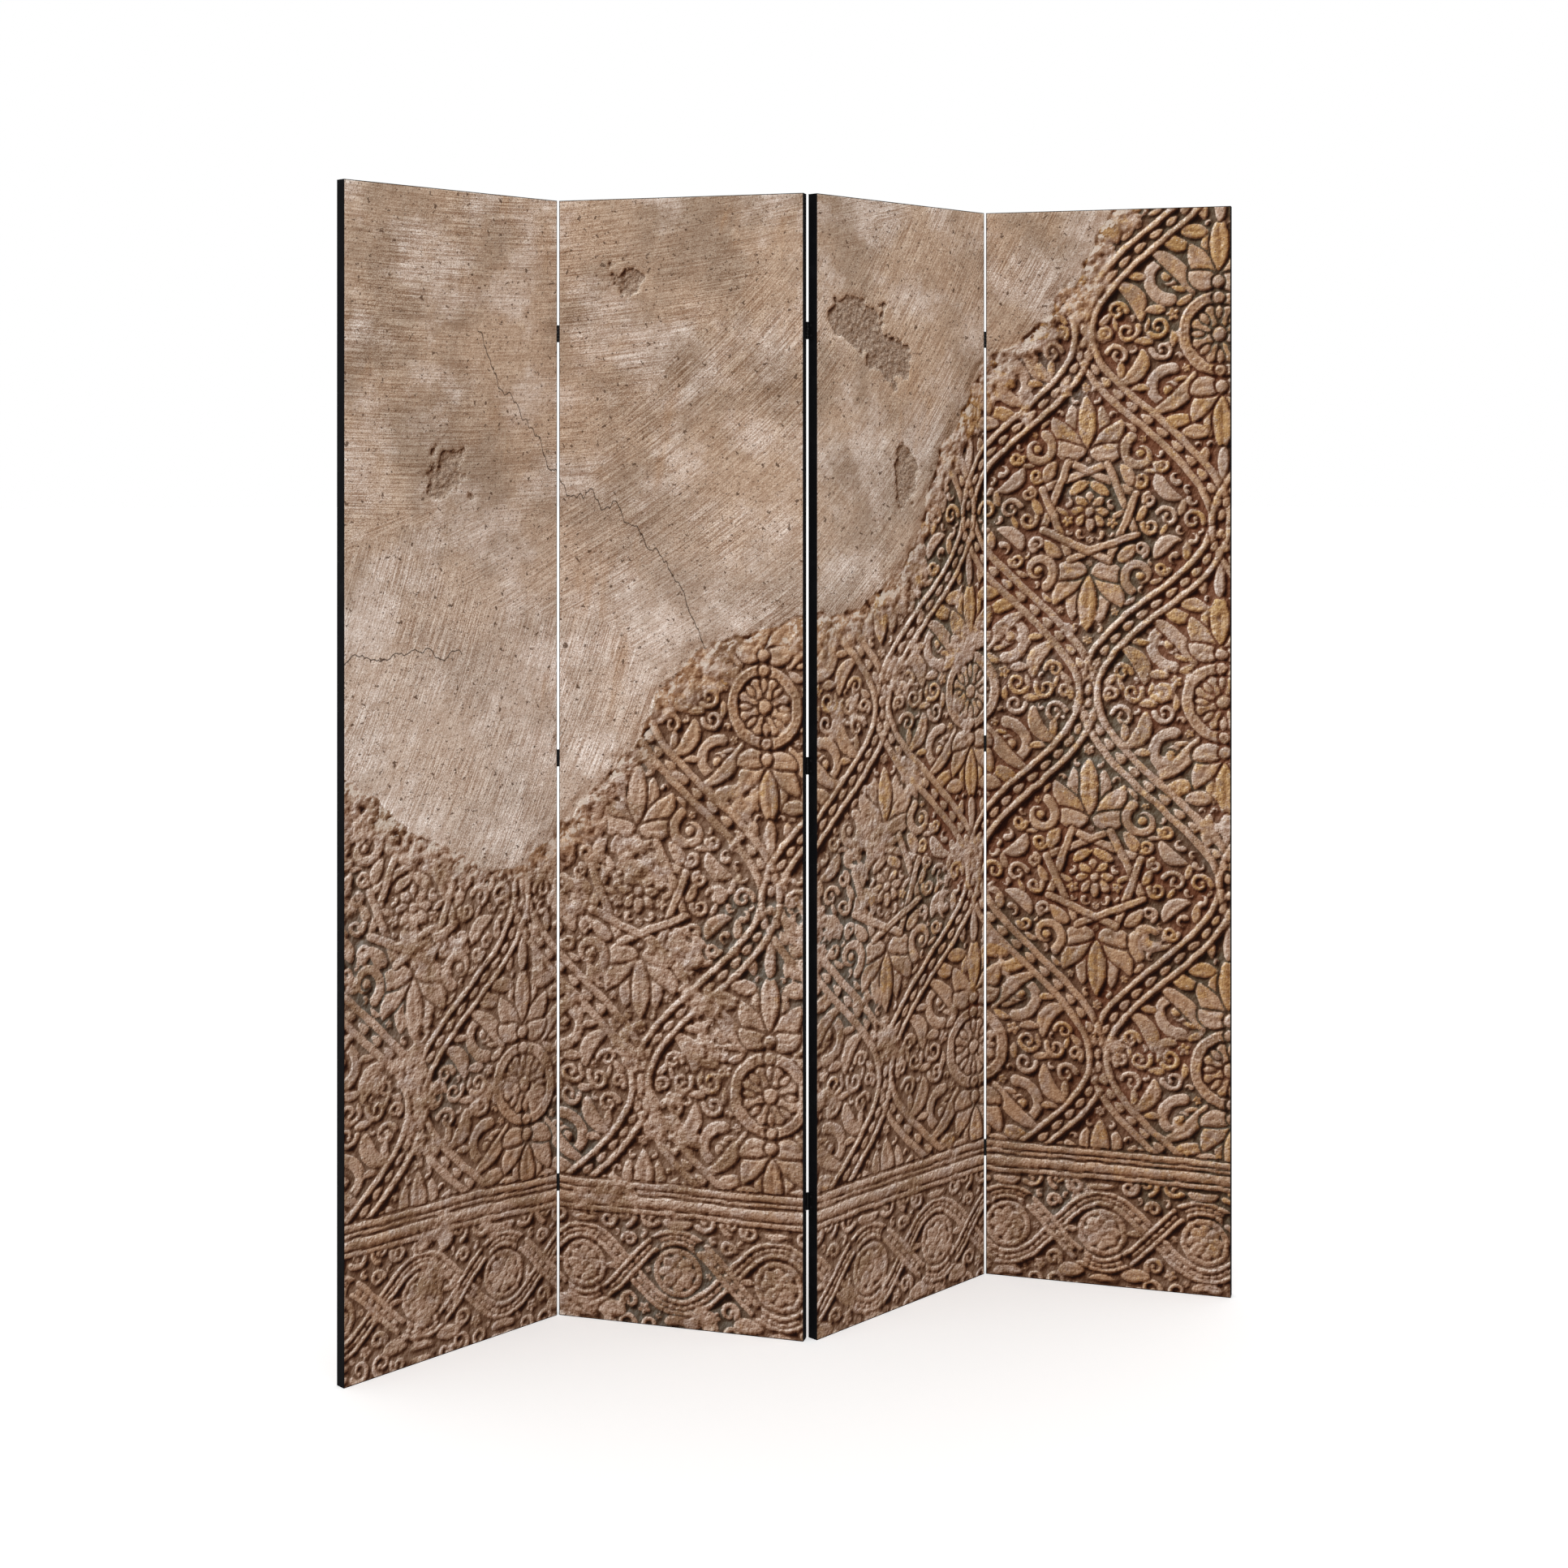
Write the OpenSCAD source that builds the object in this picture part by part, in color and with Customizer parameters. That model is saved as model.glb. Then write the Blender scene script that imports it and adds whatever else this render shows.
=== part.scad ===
// Four-panel folding screen: printed canvas on both faces of a light timber
// stretcher frame, bound round the edge with black tape, and hinged in a zigzag
// with three small butt hinges at each fold.
//
// The screen stands on z = 0 with its long line along X and its front towards -Y.
// Panels are numbered from the left as seen from the front. Joint j lies between
// panels j and j + 1: joints 1 and 3 fold the fronts together, joint 2 the backs.

/* [Panel] */
// Width of one panel over its edge tape
panel_w = 400; // [300:10:600]
// Height of one panel, which is the height of the screen
panel_h = 1760; // [1200:10:2200]
// Thickness of one panel over its edge tape
panel_t = 18; // [16:0.5:30]
// Radius of a panel's upright corners
corner_r = 0.6; // [0.5:0.1:2]

/* [Timber frame] */
// Width of a stretcher bar, seen from the front
bar_w = 38; // [30:1:60]
// Width of the raised bead along a bar's outer edge, which the canvas bears on
bead_w = 8; // [4:0.5:14]
// Width of the slope that runs down from the bead
bead_slope = 4; // [1:0.5:8]
// Depth that the rest of the bar lies back from the canvas
bead_relief = 1; // [0.5:0.1:2]
// Number of cross rails in a panel
cross_rail_count = 2; // [1:1:4]
// Height of a cross rail, seen from the front
cross_rail_w = 30; // [26:1:50]
// Thickness of a cross rail
cross_rail_t = 10; // [8:0.5:12]
// Chamfer along a cross rail's long edges
cross_rail_chamfer = 1.5; // [0.5:0.5:3]
// Length of the stub tenon at each end of a cross rail
tenon_l = 15; // [8:1:20]
// Height of that tenon
tenon_w = 22; // [14:1:24]
// Thickness of that tenon
tenon_t = 5; // [3:0.5:6]
// Clearance round a tenon in its mortise
tenon_clearance = 0.1; // [0.05:0.05:0.3]
// Empty depth left past the end of a tenon
mortise_spare = 1; // [0.5:0.5:3]

/* [Canvas and edge tape] */
// Thickness of the printed canvas
canvas_t = 0.4; // [0.2:0.1:0.8]
// Thickness of the edge tape
tape_t = 0.3; // [0.2:0.1:0.5]
// Width of the narrow turn of tape that shows on the front and the back
tape_lip_w = 0.9; // [0.8:0.1:4]
// Gap where two lengths of tape butt at a corner
tape_butt_gap = 0.05; // [0.03:0.01:0.15]

/* [Hinges] */
// Length of a hinge along its pin
hinge_l = 27; // [22:1:50]
// Height of the lowest hinge's middle over the floor, and of the top one's under the top
hinge_inset = 210; // [100:10:400]
// Reach of a leaf from the panel's face across its edge
leaf_w = 10.6; // [8:0.1:13]
// Thickness of a leaf
leaf_t = 0.8; // [0.6:0.1:1]
// Number of knuckles that the two leaves share
knuckle_count = 5; // [3:2:7]
// Axial play between neighbouring knuckles
knuckle_play = 0.15; // [0.1:0.05:0.3]
// Radius of a knuckle
barrel_r = 1.7; // [1.6:0.1:2.4]
// Distance of the pin's axis beyond the panels' faces
axis_proud = 0.2; // [0.15:0.05:1]
// Clearance round a knuckle in the other leaf's notch
notch_clearance = 0.25; // [0.15:0.05:0.5]
// Radius of a hinge pin
pin_r = 0.9; // [0.7:0.05:1]
// Running clearance round the pin
pin_clearance = 0.05; // [0.03:0.01:0.08]

/* [Hinge screws] */
// Length of a screw from the top of its head to its point
screw_l = 14; // [8:1:16]
// Radius of a screw's shank
screw_r = 1.2; // [0.9:0.1:1.4]
// Radius of a screw's countersunk head
screw_head_r = 2.1; // [1.8:0.1:2.4]
// Distance between the two screws of a leaf
screw_spacing = 16; // [10:1:17]
// Distance of the screws from the panel's face
screw_setback = 6.4; // [5.4:0.1:7]
// Clearance of the shank in its pilot hole
pilot_clearance = 0.05; // [0.02:0.01:0.1]
// Clearance of the head in the leaf's countersink
countersink_clearance = 0.1; // [0.05:0.05:0.2]
// Clearance of the shank in the leaf's hole
shank_clearance = 0.2; // [0.1:0.05:0.3]
// Empty depth left past a screw's point
pilot_spare = 1; // [0.5:0.5:2]
// Length of a screw's point
screw_point_l = 3; // [2:0.5:4]
// Radius left at the tip of that point
screw_tip_r = 0.2; // [0.1:0.05:0.5]
// Depth of the cross recess in a screw's head
recess_depth = 0.5; // [0.3:0.1:0.7]
// Width of one arm of that recess
recess_w = 0.5; // [0.3:0.1:0.7]
// Length of one arm of that recess, from tip to tip
recess_l = 2.4; // [1.6:0.1:2.8]

/* [Stance] */
// Angle that each joint is turned from lying flat, as the screen stands
fold_angle = 61; // [20:1:120]

/* [Hidden] */
panel_count = 4;
joint_count = panel_count - 1;
hinge_rows = ["bottom", "middle", "top"];
frame_parts = ["left_stile", "right_stile", "bottom_rail", "top_rail", "cross_rails"];
skin_parts = ["front_canvas", "back_canvas", "edge_tape", "hinge_screws"];

past = 0.5;                            // how far a cutter runs past what it cuts
corner_fn = 24;
barrel_fn = 40;
screw_fn = 24;

core_w = panel_w - 2 * tape_t;         // what the tape wraps round
core_h = panel_h - 2 * tape_t;
core_t = panel_t - 2 * tape_t;
face_y = tape_t + canvas_t;            // depth of the timber's face under tape and canvas
bar_t = panel_t - 2 * face_y;
tongue_t = bar_t / 3;                  // middle third of a bar, for the corner joints
tongue_y = face_y + tongue_t;

axis_out = barrel_r;                   // pin axis from the panel's edge
bore_r = pin_r + pin_clearance;
knuckle_pitch = hinge_l / knuckle_count;
pilot_r = screw_r + pilot_clearance;
shank_l = screw_l - leaf_t;

half_fold = fold_angle / 2;
joint_dx = (panel_w + 2 * axis_out) * cos(half_fold)
    + (panel_t + 2 * axis_proud) * sin(half_fold);
joint_dy = (panel_w + 2 * axis_out) * sin(half_fold)
    - (panel_t + 2 * axis_proud) * cos(half_fold);
// Nearest and farthest reach of the rounded corners, measured from joint 2
reach_front = (axis_out + corner_r) * sin(half_fold)
    - (panel_t + axis_proud - corner_r) * cos(half_fold) - corner_r;
reach_back = (panel_w + axis_out - corner_r) * sin(half_fold)
    - (axis_proud + corner_r) * cos(half_fold) + corner_r;
centre_y = -(reach_front + reach_back) / 2;

function is_odd(n) = n % 2 == 1;
function panel_turn(p) = is_odd(p) ? half_fold : -half_fold;
function joint_xy(j) = [(j - 2) * joint_dx, centre_y + (is_odd(j) ? joint_dy : 0)];
function hinge_z(row) = row == 0 ? hinge_inset : row == 1 ? panel_h / 2 : panel_h - hinge_inset;
function cross_rail_z(k) = panel_h * k / (cross_rail_count + 1);

// ---- Placing ---------------------------------------------------------------

// Puts a panel, built with its front left bottom corner at the origin, into the zigzag.
module in_screen(p) {
    j = min(p, joint_count);
    hung_x = p <= joint_count ? panel_w + axis_out : -axis_out;
    hung_y = is_odd(j) ? -axis_proud : panel_t + axis_proud;
    translate(joint_xy(j)) rotate(panel_turn(p)) translate([-hung_x, -hung_y, 0]) children();
}

// Puts a piece of a hinge on a panel's edge. There +X leads out of the edge, +Y leads
// from the hinge's face across the edge, and the hinge's middle is at z = 0.
module on_edge(right, front) {
    translate([right ? panel_w : 0, front ? 0 : panel_t, 0])
        mirror([right ? 0 : 1, 0, 0])
            mirror([0, front ? 0 : 1, 0])
                children();
}

// Puts a piece at every hinge of joint j, on the edge of panel p.
module at_hinges(p, j) {
    for (row = [0:len(hinge_rows) - 1])
        on_edge(p == j, is_odd(j)) translate([0, 0, hinge_z(row)]) children();
}

module mirrored_x() { translate([panel_w, 0, 0]) mirror([1, 0, 0]) children(); }
module mirrored_y() { translate([0, panel_t, 0]) mirror([0, 1, 0]) children(); }
module mirrored_z() { translate([0, 0, panel_h]) mirror([0, 0, 1]) children(); }

// ---- Timber frame ----------------------------------------------------------

module rounded_rect(w, t, r) {
    translate([r, 0]) square([w - 2 * r, t]);
    translate([0, r]) square([w, t - 2 * r]);
    for (x = [r, w - r], y = [r, t - r]) translate([x, y]) circle(r, $fn = corner_fn);
}

// Plan of everything inside the tape
module core_plan() {
    translate([tape_t, tape_t]) rounded_rect(core_w, core_t, corner_r - tape_t);
}

// Section of a stretcher bar: X from the outer edge inwards, Y through the panel
module bar_section() {
    low = face_y + bead_relief;
    polygon([
        [0, face_y], [bead_w, face_y], [bead_w + bead_slope, low], [bar_w, low],
        [bar_w, panel_t - low], [bead_w + bead_slope, panel_t - low],
        [bead_w, panel_t - face_y], [0, panel_t - face_y]
    ]);
}

// Prism over the triangle on one side of the corner's diagonal, from y0 to y1
module corner_prism(rail_side, y0, y1) {
    low = -past;
    high = bar_w + past;
    translate([tape_t, y1, tape_t]) rotate([90, 0, 0]) linear_extrude(y1 - y0)
        polygon([[low, low], [high, high], rail_side ? [high, low] : [low, high]]);
}

// What a stile gives up to the rail at its foot: the mitre, and a slot for the rail's tongue
module stile_foot_cut() {
    corner_prism(true, -past, panel_t + past);
    translate([tape_t - past, tongue_y, tape_t - past])
        cube([bar_w + 2 * past, tongue_t, bar_w + past]);
}

// What a rail gives up to the stile at its left end: the mitre on both sides of its tongue
module rail_end_cut() {
    corner_prism(false, -past, tongue_y);
    corner_prism(false, tongue_y + tongue_t, panel_t + past);
}

module mortises() {
    depth = tenon_l + mortise_spare;
    for (k = [1:cross_rail_count])
        translate([tape_t + bar_w - depth, (panel_t - tenon_t) / 2 - tenon_clearance,
                   cross_rail_z(k) - tenon_w / 2 - tenon_clearance])
            cube([depth + past, tenon_t + 2 * tenon_clearance, tenon_w + 2 * tenon_clearance]);
}

module plain_stile() {
    difference() {
        intersection() {
            translate([tape_t, 0, tape_t]) linear_extrude(core_h) bar_section();
            translate([0, 0, tape_t]) linear_extrude(core_h) core_plan();
        }
        stile_foot_cut();
        mirrored_z() stile_foot_cut();
        mortises();
    }
}

// Holes for the hinge screws of joint j in the edge of panel p
module pilot_holes(p, j) {
    if (j >= 1 && j <= joint_count)
        at_hinges(p, j)
            for (z = [-screw_spacing / 2, screw_spacing / 2])
                translate([past, screw_setback, z]) rotate([0, -90, 0])
                    cylinder(r = pilot_r, h = shank_l + pilot_spare + past, $fn = screw_fn);
}

module left_stile(p) {
    color("burlywood") difference() {
        plain_stile();
        pilot_holes(p, p - 1);
    }
}

module right_stile(p) {
    color("burlywood") difference() {
        mirrored_x() plain_stile();
        pilot_holes(p, p);
    }
}

module bottom_rail() {
    color("tan") difference() {
        intersection() {
            translate([panel_w - tape_t, 0, tape_t]) rotate([0, -90, 0])
                linear_extrude(core_w) bar_section();
            translate([0, 0, tape_t]) linear_extrude(core_h) core_plan();
        }
        rail_end_cut();
        mirrored_x() rail_end_cut();
    }
}

module top_rail() { mirrored_z() bottom_rail(); }

module cross_rails() {
    shoulder_x = tape_t + bar_w;
    w = cross_rail_w / 2;
    t = cross_rail_t / 2;
    c = cross_rail_chamfer;
    color("wheat") for (k = [1:cross_rail_count]) translate([0, panel_t / 2, cross_rail_z(k)]) {
        translate([panel_w - shoulder_x, 0, 0]) rotate([0, -90, 0])
            linear_extrude(panel_w - 2 * shoulder_x)
                polygon([
                    [-w, c - t], [c - w, -t], [w - c, -t], [w, c - t],
                    [w, t - c], [w - c, t], [c - w, t], [-w, t - c]
                ]);
        translate([shoulder_x - tenon_l, -tenon_t / 2, -tenon_w / 2])
            cube([panel_w - 2 * (shoulder_x - tenon_l), tenon_t, tenon_w]);
    }
}

// ---- Canvas and edge tape --------------------------------------------------

module front_canvas() {
    color("rosybrown") translate([0, 0, tape_t]) linear_extrude(core_h) intersection() {
        core_plan();
        translate([0, tape_t]) square([panel_w, canvas_t]);
    }
}

module back_canvas() { mirrored_y() front_canvas(); }

// The tape down the left edge, turned a little way over both faces
module side_tape() {
    linear_extrude(panel_h) intersection() {
        difference() {
            rounded_rect(panel_w, panel_t, corner_r);
            core_plan();
        }
        square([tape_lip_w, panel_t]);
    }
}

// The tape along the foot, which butts between the two side tapes
module foot_tape() {
    inset = tape_t + tape_butt_gap;
    lip_x = tape_lip_w + tape_butt_gap;
    lip_l = panel_w - 2 * lip_x;
    linear_extrude(tape_t) translate([inset, inset])
        rounded_rect(panel_w - 2 * inset, panel_t - 2 * inset, corner_r - inset);
    translate([lip_x, 0, 0]) cube([lip_l, panel_t, tape_t]);
    for (y = [0, panel_t - tape_t]) translate([lip_x, y, 0]) cube([lip_l, tape_t, tape_lip_w]);
}

module edge_tape(p) {
    color([0.07, 0.07, 0.08]) {
        difference() {
            side_tape();
            pilot_holes(p, p - 1);
        }
        difference() {
            mirrored_x() side_tape();
            pilot_holes(p, p);
        }
        foot_tape();
        mirrored_z() foot_tape();
    }
}

// ---- Hinges ----------------------------------------------------------------

// Cylinders of radius r round the pin's axis, at every other knuckle from the given one
module knuckle_row(first, r, play) {
    for (k = [first:2:knuckle_count - 1])
        translate([axis_out, -axis_proud, -hinge_l / 2 + k * knuckle_pitch + play / 2])
            cylinder(r = r, h = knuckle_pitch - play, $fn = barrel_fn);
}

module leaf_screw_hole() {
    rotate([0, 90, 0]) {
        translate([0, 0, -past])
            cylinder(r = screw_r + shank_clearance, h = leaf_t + 2 * past, $fn = screw_fn);
        cylinder(r1 = screw_r + shank_clearance, r2 = screw_head_r + countersink_clearance,
                 h = leaf_t, $fn = screw_fn);
    }
}

// One leaf in its edge frame. The left leaf has the end knuckles.
module leaf(own, other) {
    color([0.16, 0.16, 0.17]) difference() {
        union() {
            translate([0, -axis_proud, -hinge_l / 2]) cube([leaf_t, axis_proud + leaf_w, hinge_l]);
            knuckle_row(own, barrel_r, knuckle_play);
        }
        knuckle_row(other, barrel_r + notch_clearance, -knuckle_play);
        translate([axis_out, -axis_proud, -hinge_l / 2 - past])
            cylinder(r = bore_r, h = hinge_l + 2 * past, $fn = barrel_fn);
        for (z = [-screw_spacing / 2, screw_spacing / 2])
            translate([0, screw_setback, z]) leaf_screw_hole();
    }
}

module pins(j) {
    color([0.3, 0.3, 0.31]) at_hinges(j, j)
        translate([axis_out, -axis_proud, -hinge_l / 2]) cylinder(r = pin_r, h = hinge_l, $fn = barrel_fn);
}

// A countersunk screw, its head flush with the leaf and its point inside the stile
module screw() {
    straight_l = shank_l - screw_point_l;
    rotate([0, 90, 0]) difference() {
        union() {
            cylinder(r1 = screw_r + countersink_clearance, r2 = screw_head_r, h = leaf_t, $fn = screw_fn);
            translate([0, 0, -straight_l]) cylinder(r = screw_r, h = straight_l, $fn = screw_fn);
            translate([0, 0, -shank_l])
                cylinder(r1 = screw_tip_r, r2 = screw_r, h = screw_point_l, $fn = screw_fn);
        }
        for (turn = [0, 90])
            rotate(turn) translate([-recess_l / 2, -recess_w / 2, leaf_t - recess_depth])
                cube([recess_l, recess_w, recess_depth + past]);
    }
}

module hinge_screws(p) {
    color([0.2, 0.2, 0.21]) for (j = [p - 1, p])
        if (j >= 1 && j <= joint_count)
            at_hinges(p, j)
                for (z = [-screw_spacing / 2, screw_spacing / 2])
                    translate([0, screw_setback, z]) screw();
}

// ---- The screen ------------------------------------------------------------

for (p = [1:panel_count]) {
    panel = str("panel_", p, "_");
    in_screen(p) left_stile(p);
    in_screen(p) right_stile(p);
    in_screen(p) bottom_rail();
    in_screen(p) top_rail();
    in_screen(p) cross_rails();
    in_screen(p) front_canvas();
    in_screen(p) back_canvas();
    in_screen(p) edge_tape(p);
    in_screen(p) hinge_screws(p);
}
for (j = [1:joint_count]) {
    in_screen(j) pins(j);
    for (row = [0:len(hinge_rows) - 1]) {
        hinge = str("hinge_", j, "_", hinge_rows[row]);
        in_screen(j) on_edge(true, is_odd(j)) translate([0, 0, hinge_z(row)]) leaf(0, 1);
        in_screen(j + 1) on_edge(false, is_odd(j)) translate([0, 0, hinge_z(row)]) leaf(1, 0);
    }
}
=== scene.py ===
"""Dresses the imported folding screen: printed canvases, black tape, pine frames, black hinges and a floor."""
from math import cos, pi, radians, sin

import bpy
import numpy as np
from bpy.props import FloatProperty, FloatVectorProperty, IntProperty, PointerProperty
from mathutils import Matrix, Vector


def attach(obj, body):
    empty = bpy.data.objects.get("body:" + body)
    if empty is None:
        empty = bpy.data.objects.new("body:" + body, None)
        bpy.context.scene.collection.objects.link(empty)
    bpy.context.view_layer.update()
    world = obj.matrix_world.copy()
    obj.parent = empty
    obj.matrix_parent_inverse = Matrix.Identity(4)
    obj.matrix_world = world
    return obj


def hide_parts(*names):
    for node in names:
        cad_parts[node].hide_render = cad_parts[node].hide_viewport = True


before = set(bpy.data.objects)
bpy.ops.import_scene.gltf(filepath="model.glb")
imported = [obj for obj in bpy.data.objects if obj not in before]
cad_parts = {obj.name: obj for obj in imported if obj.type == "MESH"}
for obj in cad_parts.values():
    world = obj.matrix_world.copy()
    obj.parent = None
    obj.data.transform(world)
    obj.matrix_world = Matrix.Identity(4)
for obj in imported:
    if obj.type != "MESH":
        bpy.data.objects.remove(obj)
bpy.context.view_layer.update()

bl_info = {
    "name": "Folding screen",
    "version": (1, 0, 0),
    "blender": (4, 5, 0),
    "location": "3D View > Sidebar > Folding screen",
    "description": "Prints, tapes and finishes a four-panel folding screen over its packed model",
    "category": "Object",
}

# ---- The panels, and the camera, the lamp and the floor round them, in metres

PANELS = (1, 2, 3, 4)
OUTER_BARS = ("left_stile", "right_stile", "bottom_rail", "top_rail")   # they carry the canvases
MM_PER_M = 1000
CAMERA_PLACE = (-0.9215, -3.4669, 1.3535)
LAMP_PLACE = (-0.35, -0.75, 0.56)        # only its direction from the origin counts
LAMP_SPREAD = radians(40)
FLOOR_REACH = 60.0

# ---- The printed picture's measures, in mm

SAMPLE = 1.25                          # from one place of its grid to the next
DESIGN_W, DESIGN_H = 1612.0, 1760.0    # the four canvases side by side
COLUMN_PITCH = 403.4                   # from one canvas to the next
COLS = int(DESIGN_W / SAMPLE) + 2
ROWS = int(DESIGN_H / SAMPLE) + 2
CELL_W, CELL_H = 424.0, 592.0          # one repeat of the net of ribs
DRAWN_W, DRAWN_H = 322.4, 440.0        # the same repeat, at the scale its motifs are drawn in
NET_FOOT = 228.0                       # height of the net's foot, above the mouldings
BAND_H = 172.0                         # height of the band along the foot
BAND_PERIOD = 318.0                    # one repeat of that band
RELIEF = 11.0                          # depth of the carving
NET_SHIFT = (96.0, -150.0)             # from a place on the wall to one in the net's repeat
BAND_SHIFT = 40.0                      # the same along the band
UPRIGHT_LEAN, LEVEL_LEAN = 0.016, 0.012   # how far out of true the wall's lines are

# the mouldings between band and net: middle, half width and share of the relief
MOULDINGS = ((178, 5, 0.75), (193, 9, 1.0), (208, 4, 0.6), (219, 6, 0.9))

# the turns of the plaster's broken lower edge: how far right, and how high
PLASTER_EDGE = ((0, 120, 300, 470, 600, 790, 900, 1010, 1180, 1310, 1400, 1460, 1620),
                (905, 800, 715, 820, 1030, 1120, 1085, 1200, 1490, 1580, 1700, 1850, 1900))

# where the plaster has come off: middle across and up, reach across and up, and size
CHIPS = ((905, 1560, 74, 44, 46), (955, 1520, 50, 40, 30), (190, 1330, 26, 34, 22), (520, 1640, 20, 15, 12),
         (1020, 1330, 22, 30, 16))

# its cracks: from and to across, from and to up, and how far they wander
CRACKS = ((245, 660, 1500, 1085, 55), (0, 215, 1040, 1075, 30))

# the design's fields that a canvas stores at each corner of its grid, four to a layer
PRINT_LAYERS = {
    "carving": ("edge", "light", "shade", "cavity"),
    "state": ("plaster", "paint", "kept", "wear"),
    "marks": ("crack", "chip", "facing", "brush"),
}


# ---- Fields and noise

FU, FV = np.meshgrid(np.fft.rfftfreq(COLS, SAMPLE), np.fft.fftfreq(ROWS, SAMPLE))


def blurred(field, size):
    """A field smoothed over a radius of size mm."""
    kept = np.exp(-2 * (pi * size) ** 2 * (FU ** 2 + FV ** 2))
    return np.fft.irfft2(np.fft.rfft2(field) * kept, s=field.shape)


def unit(field):
    """The field with a mean of 0 and a spread of 1."""
    return (field - field.mean()) / field.std()


def grain(rng, size):
    """Smooth noise with marks size mm across."""
    kept = np.exp(-2 * (pi * 0.35 * size) ** 2 * (FU ** 2 + FV ** 2))
    return unit(np.fft.irfft2(np.fft.rfft2(rng.standard_normal((ROWS, COLS))) * kept, s=(ROWS, COLS)))


def cloud(rng, size, octaves=4, gain=0.55):
    """Noise of several sizes, each half the last and weaker by gain."""
    return unit(sum(gain ** k * grain(rng, size / 2 ** k) for k in range(octaves)))


def rise(lo, hi, x):
    """0 below lo and 1 above hi, with a smooth step between."""
    t = np.clip((x - lo) / (hi - lo), 0, 1)
    return t * t * (3 - 2 * t)


def over(below, above, share):
    """One field over another, by a share from 0 to 1."""
    return below * (1 - share) + share * above


def between(field, i, j, up, right, a, b):
    """A field between four of its places, a of the way from row i to up and b from column j to right."""
    low = field[i, j] * (1 - b) + field[i, right] * b
    high = field[up, j] * (1 - b) + field[up, right] * b
    return low * (1 - a) + high * a


def toward_light(right, up):
    """How far a slope faces the light at the upper left, from its rise to the right and upwards."""
    return right * 0.66 - up * 0.75


# ---- One repeat of the carving

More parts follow.
